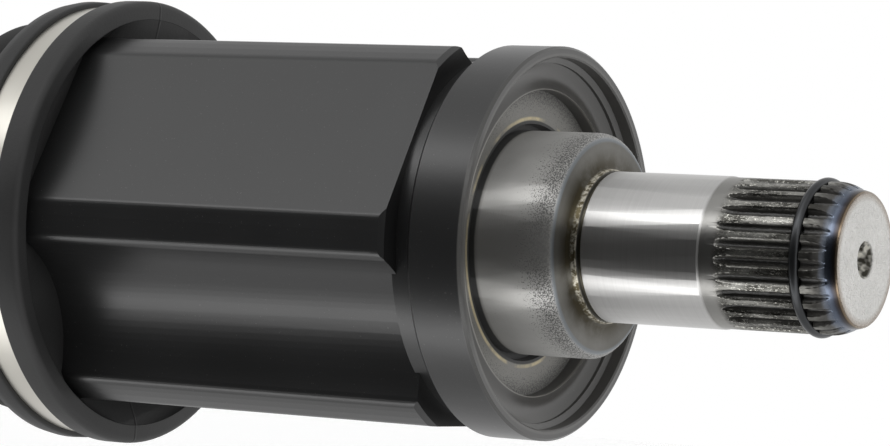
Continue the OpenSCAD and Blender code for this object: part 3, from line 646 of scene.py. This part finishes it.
shares = [-0.5, -0.42, -0.36, -0.335, -0.30, -0.25, -0.20, -0.15, -0.12, -0.06]
shares = shares + [0.0] + [-v for v in reversed(shares)]
places = [groove_start + (groove_full - groove_start) * (i / 14) ** 1.5 for i in range(15)]
places += [0.0240, 0.0280, clip_x - clip_half]
nose_from, nose_len = stub_end - 0.0060, 0.0057
after_clip = [clip_x + clip_half, 0.0348] + [nose_from + i * nose_len / 19 for i in range(20)]
rows = [(spline_cut, lambda s: 0.0), (spline_cut, lambda s: tip_r)]
rows += [(x, lambda s, x=x: spline_radius(x, s)) for x in places]
rows += [(clip_x - clip_half, lambda s: clip_floor), (clip_x + clip_half, lambda s: clip_floor)]
rows += [(x, lambda s, x=x: spline_radius(x, s)) for x in after_clip]
centre_hole = [(0.0, 0.0129), (0.0, 0.0037), (0.0036, 0.0016), (0.0045, 0.0)]
rows += [(stub_end - back, lambda s, r=r: r) for back, r in centre_hole]
corners, quads = [], []
for x, radius in rows:
    for share in shares:
        turn = share * pitch_angle
        corners.append((x, radius(share) * math.cos(turn), radius(share) * math.sin(turn)))
across = len(shares)
for i in range(len(rows) - 1):
    for j in range(across - 1):
        a = i * across + j
        quads.append((a, a + 1, a + 1 + across, a + across))
one_pitch = bpy.data.meshes.new("one_pitch")
one_pitch.from_pydata(corners, [], quads)
print("one pitch has", len(quads), "faces")

# %% [markdown]
# ## Boots
# A boot is a turned rubber wall: a collar under each band and folds between them. Its section is a closed
# outline of places along X and radii. A Geometry Nodes tree turns that outline round the axis, because
# every turned rubber piece follows this one rule: row i of a grid is the outline at angle i. Each boot is
# cut in rings at the valleys between folds.


# %% The turning tree
def new_tree(name, sizes):
    """A Geometry Nodes tree with a geometry input, the named size inputs and a geometry output."""
    tree = bpy.data.node_groups.new(name, "GeometryNodeTree")
    face = tree.interface
    face.new_socket("Geometry", in_out="INPUT", socket_type="NodeSocketGeometry")
    for size, kind in sizes.items():
        face.new_socket(size, in_out="INPUT", socket_type="NodeSocket" + kind)
    face.new_socket("Geometry", in_out="OUTPUT", socket_type="NodeSocketGeometry")
    return tree, add(tree, "NodeGroupInput").outputs


def close_tree(tree, geometry, finish):
    """Realises what the tree made, gives it its finish and sends it out."""
    real = add(tree, "GeometryNodeRealizeInstances", {0: geometry})
    dressed = add(tree, "GeometryNodeSetMaterial", {"Geometry": real.outputs[0], "Material": finish})
    add(tree, "NodeGroupOutput", {0: dressed.outputs[0]})


def turning_tree():
    tree, given = new_tree("turned_wall", {"Steps": "Int", "Finish": "Material"})
    outline = given["Geometry"]
    count = add(tree, "GeometryNodeAttributeDomainSize", {0: outline}).outputs["Point Count"]
    whole = lambda how, a, b: add(tree, "FunctionNodeIntegerMath", {0: a, 1: b}, operation=how).outputs[0]
    wide = whole("ADD", count, 1)
    rows = whole("ADD", given["Steps"], 1)
    grid = add(tree, "GeometryNodeMeshGrid", {"Vertices X": rows, "Vertices Y": wide}).outputs["Mesh"]
    index = add(tree, "GeometryNodeInputIndex").outputs[0]
    row = whole("DIVIDE_FLOOR", index, wide)
    column = whole("MODULO", whole("MODULO", index, wide), count)
    spot = add(tree, "GeometryNodeInputPosition").outputs[0]
    point = add(tree, "GeometryNodeSampleIndex", {"Geometry": outline, "Value": spot, "Index": column},
                data_type="FLOAT_VECTOR").outputs[0]
    point = add(tree, "ShaderNodeSeparateXYZ", {0: point}).outputs
    number = lambda how, a, b=0.0: add(tree, "ShaderNodeMath", {0: a, 1: b}, operation=how).outputs[0]
    turn = number("MULTIPLY", number("DIVIDE", row, given["Steps"]), 2 * math.pi)
    where = add(tree, "ShaderNodeCombineXYZ", {
        0: point["X"], 1: number("MULTIPLY", point["Y"], number("COSINE", turn)),
        2: number("MULTIPLY", point["Y"], number("SINE", turn))}).outputs[0]
    turned = add(tree, "GeometryNodeSetPosition", {"Geometry": grid, "Position": where}).outputs[0]
    turned = add(tree, "GeometryNodeMergeByDistance", {"Geometry": turned, "Distance": 0.000001})
    close_tree(tree, turned.outputs[0], given["Finish"])
    return tree


turning = turning_tree()


def repeating_tree():
    """Copies a strip round the X axis and welds the copies."""
    tree, given = new_tree("repeat_round_shaft", {"Count": "Int", "Finish": "Material"})
    line = add(tree, "GeometryNodeMeshLine", {"Count": given["Count"], "Offset": (0, 0, 0)}).outputs[0]
    index = add(tree, "GeometryNodeInputIndex").outputs[0]
    number = lambda how, a, b=0.0: add(tree, "ShaderNodeMath", {0: a, 1: b}, operation=how).outputs[0]
    turn = number("MULTIPLY", number("DIVIDE", index, given["Count"]), 2 * math.pi)
    turn = add(tree, "ShaderNodeCombineXYZ", {0: turn}).outputs[0]
    copies = add(tree, "GeometryNodeInstanceOnPoints",
                 {"Points": line, "Instance": given["Geometry"], "Rotation": turn}).outputs[0]
    solid = add(tree, "GeometryNodeRealizeInstances", {0: copies}).outputs[0]
    solid = add(tree, "GeometryNodeMergeByDistance", {"Geometry": solid, "Distance": 0.000002}).outputs[0]
    close_tree(tree, solid, given["Finish"])
    return tree


repeating = repeating_tree()


# %% Growing a piece from a tree
def grow(name, tree, start_mesh=None, crease=40.0, **sizes):
    """Runs a tree on a mesh and returns the result as a plain piece with outward faces."""
    mesh = start_mesh or bpy.data.meshes.new(name + "_start")
    carrier = bpy.data.objects.new(name + "_carrier", mesh)
    scene.collection.objects.link(carrier)
    grower = carrier.modifiers.new("grow", "NODES")
    grower.node_group = tree
    for item in tree.interface.items_tree:
        if item.in_out == "INPUT" and item.name in sizes:
            grower[item.identifier] = sizes[item.name]
    done = carrier.evaluated_get(bpy.context.evaluated_depsgraph_get())
    result = bpy.data.meshes.new_from_object(done)
    bpy.data.objects.remove(carrier)
    result.name = name
    shape = bmesh.new()
    shape.from_mesh(result)
    bmesh.ops.remove_doubles(shape, verts=shape.verts, dist=0.0000005)
    bmesh.ops.recalc_face_normals(shape, faces=shape.faces)
    soften(shape, crease)
    shape.to_mesh(result)
    shape.free()
    print(name, len(result.polygons), "faces")
    return link(name, result)


def outline_mesh(name, points):
    mesh = bpy.data.meshes.new(name)
    count = len(points)
    mesh.from_pydata([(x, r, 0.0) for x, r in points], [(i, (i + 1) % count) for i in range(count)], [])
    return mesh


# %% The spline round the stub
spline = grow("stub_spline", repeating, one_pitch, crease=38.0, Count=teeth, Finish=stub.material)
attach(spline, "gearbox_end")

# %% [markdown]
# The folds are a wave about a line that narrows towards the bar. Each crest is rounder than the
# valley beside it, as a moulded fold is. The same function gives the outer and the inner side of
# the wall, so the wall keeps its thickness.


# %% The rule of the folds
def fold_points(sizes, part_from, part_to, inwards=0.0, steps=14):
    """Points on the wave, from one fold number to another. The folds get shallower by fade."""
    x_from, x_to, r_from, r_to, depth, fade, curve, folds = sizes.values()
    points = []
    total = max(1, round((part_to - part_from) * steps))
    for i in range(total + 1):
        fold = part_from + (part_to - part_from) * i / total
        t = fold / folds
        swing = depth * (1 - fade * t)
        wave = (1 - math.cos(2 * math.pi * fold)) / 2
        radius = r_from + (r_to - r_from) * t ** curve - swing * wave ** 0.82
        points.append((x_from + (x_to - x_from) * t, radius - inwards))
    return points


def fold_x(sizes, fold):
    """Place along X of a fold number."""
    return sizes["x_from"] + (sizes["x_to"] - sizes["x_from"]) * fold / sizes["folds"]


def fold_walls(sizes, part_from, part_to):
    """The outer side from one fold number to another, and the inner side back."""
    inner = fold_points(sizes, part_from, part_to, inwards=wall)
    return fold_points(sizes, part_from, part_to), inner[::-1]


# %% Sizes of the tripod joint's boot, in metres
mouth_side = dict(x_from=-0.1427, x_to=-0.1880, r_from=0.0464, r_to=0.0245,
                  depth=0.0090, fade=0.65, curve=1.15, folds=4)
wall, lip = 0.0022, 0.0006
flange_x, flange_r, flange_round, folds_from = -0.1254, 0.0471, 0.0015, -0.1405
insert_r = 0.04325
band_front, band_rear, band_seat = -0.1313, -0.1379, 0.0448
insert_rear = -0.1396
bar_collar_x, bar_collar_r, bar_r = -0.2030, 0.0151, 0.01255

# %% [markdown]
# The front ring has the flange, the seat of the band and the first folds. A rounded edge is a
# short run of points on a quarter circle, because a moulded lip never ends in a sharp corner.


# %% Front ring of the tripod boot
def rounded(x, r, size, start, stop, steps=4):
    """Points on an arc about (x, r), from one angle to another, in degrees."""
    angles = [math.radians(start + (stop - start) * i / steps) for i in range(steps + 1)]
    return [(x + size * math.cos(a), r + size * math.sin(a)) for a in angles]


def ring_of(name, outline, steps):
    """Turns a closed outline into one ring of a boot."""
    section = outline_mesh(name + "_outline", outline)
    ring = grow(name, turning, section, Steps=steps, Finish=rubber.material)
    return ring


first_seam, second_seam, tripod_steps = 1.5, 2.5, 160
outer, inner = fold_walls(mouth_side, 0.0, first_seam)
front_outline = (
    [(flange_x, insert_r)]
    + rounded(flange_x - flange_round, flange_r - flange_round, flange_round, 0, 90, 6)
    + rounded(band_front + lip, flange_r - lip, lip, 90, 180)
    + [(band_front, band_seat), (band_rear, band_seat)]
    + rounded(band_rear - 0.0005, flange_r - 0.0009, 0.0005, 0, 90, 3)
    + [(folds_from, flange_r - 0.0003)]
    + outer + inner + [(insert_rear - 0.0004, insert_r)])
boot_front = ring_of("tripod_boot_front", front_outline, tripod_steps)

# %% Middle and rear rings of the tripod boot
outer, inner = fold_walls(mouth_side, first_seam, second_seam)
boot_middle = ring_of("tripod_boot_middle", outer + inner, tripod_steps)
outer, inner = fold_walls(mouth_side, second_seam, mouth_side["folds"])
collar_on_bar = (
    [(-0.1900, bar_collar_r + 2 * lip), (-0.1908, bar_collar_r)]
    + rounded(bar_collar_x + lip, bar_collar_r - lip, lip, 90, 180, 3)
    + [(bar_collar_x, bar_r), (-0.1888, bar_r)])
boot_rear = ring_of("tripod_boot_rear", outer + collar_on_bar + inner, tripod_steps)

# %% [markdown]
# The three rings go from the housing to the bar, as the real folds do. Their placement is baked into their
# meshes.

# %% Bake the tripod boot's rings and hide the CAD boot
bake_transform(boot_front)
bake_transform(boot_middle)
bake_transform(boot_rear)
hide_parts("inner_boot")

# %% [markdown]
# The ball joint's boot is built by the same functions. Its chain has four joints, two for each direction of
# the bend, so it has four rings. The first two rings list their end bodies from the bell's end of the
# chain, and the last two from the bar's end.

# %% The ball joint's boot
bell_side = dict(x_from=-0.4410, x_to=-0.3830, r_from=0.0458, r_to=0.0228,
                 depth=0.0080, fade=0.90, curve=1.7, folds=5)
bell_collar, bell_seat, bell_rim, bell_end = 0.0463, 0.04355, -0.4430, -0.4566
bell_band, band_sink, bar_collar_end, ball_steps = (-0.4533, -0.4467), 0.001, -0.3680, 144
cuts = (0.0, 1.5, 2.5, 3.5, 5.0)
chain = ("wheel_end", "lower_ball", "ball_cage", "upper_ball", "shaft_bar")
collar_at_bell = (
    rounded(bell_end + lip, bell_collar - lip, lip, 180, 90, 3)
    + [(bell_band[0], bell_collar), (bell_band[0], bell_collar - band_sink)]
    + [(bell_band[1], bell_collar - band_sink), (bell_band[1], bell_collar)]
    + [(bell_rim, bell_collar)])
collar_at_bar = (
    [(-0.3808, bar_collar_r + 2 * lip), (-0.3800, bar_collar_r)]
    + rounded(bar_collar_end - lip, bar_collar_r - lip, lip, 90, 0, 3)
    + [(bar_collar_end, bar_r), (-0.3822, bar_r)])
for i, (part_from, part_to) in enumerate(zip(cuts, cuts[1:])):
    outer, inner = fold_walls(bell_side, part_from, part_to)
    if i == 0:
        outer = collar_at_bell + outer
        inner += [(bell_rim + 0.0005, bell_seat), (bell_end, bell_seat)]
    if i == 3:
        outer += collar_at_bar
    ring = ring_of("ball_boot_ring_%d" % (i + 1), outer + inner, ball_steps)
    ends = [(chain[i], fold_x(bell_side, part_from)), (chain[i + 1], fold_x(bell_side, min(part_to, 4.9)))]
    if i > 1:
        ends.reverse()
    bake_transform(ring)
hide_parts("outer_boot")

# %% [markdown]
# ## Coils
# A compression spring and a screw thread are the same shape: a wire wound round an axis. One tree
# makes both, from a spiral and a small circle as its section. A wire of three sides is a thread.


# %% The winding tree
def winding_tree():
    sizes = dict.fromkeys(("Start", "Length", "Turns", "Coil radius", "Wire radius"), "Float")
    sizes.update({"Wire sides": "Int", "Steps per turn": "Int", "Finish": "Material"})
    tree, given = new_tree("winding", sizes)
    spiral = add(tree, "GeometryNodeCurveSpiral", {
        "Resolution": given["Steps per turn"], "Rotations": given["Turns"], "Height": given["Length"],
        "Start Radius": given["Coil radius"], "End Radius": given["Coil radius"]}).outputs[0]
    circle = {"Resolution": given["Wire sides"], "Radius": given["Wire radius"]}
    section = add(tree, "GeometryNodeCurvePrimitiveCircle", circle, mode="RADIUS").outputs[0]
    wire = {"Curve": spiral, "Profile Curve": section, "Fill Caps": True}
    wire = add(tree, "GeometryNodeCurveToMesh", wire).outputs[0]
    move = add(tree, "ShaderNodeCombineXYZ", {0: given["Start"]}).outputs[0]
    lying = add(tree, "GeometryNodeTransform",
                {"Geometry": wire, "Translation": move, "Rotation": (0.0, math.pi / 2, 0.0)}).outputs[0]
    close_tree(tree, lying, given["Finish"])
    return tree


winding = winding_tree()

# %% Thrust spring
spring = grow("thrust_spring_coil", winding, Start=-0.08435, Length=0.0233, Turns=4.5,
              **{"Coil radius": 0.0076, "Wire radius": 0.0008, "Wire sides": 12, "Steps per turn": 40},
              Finish=spring_steel.material)
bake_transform(spring)
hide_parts("thrust_spring")

# %% Thread on both sides of the axle nut
pitch = 0.0015
for name, start, stop in (("axle_thread_tip", -0.5962, -0.5906), ("axle_thread_root", -0.5694, -0.5665)):
    thread = grow(name, winding, Start=start, Length=stop - start, Turns=(stop - start) / pitch,
                  **{"Coil radius": 0.01196, "Wire radius": 0.00052, "Wire sides": 3, "Steps per turn": 64},
                  Finish=bell.material)
    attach(thread, "wheel_end")
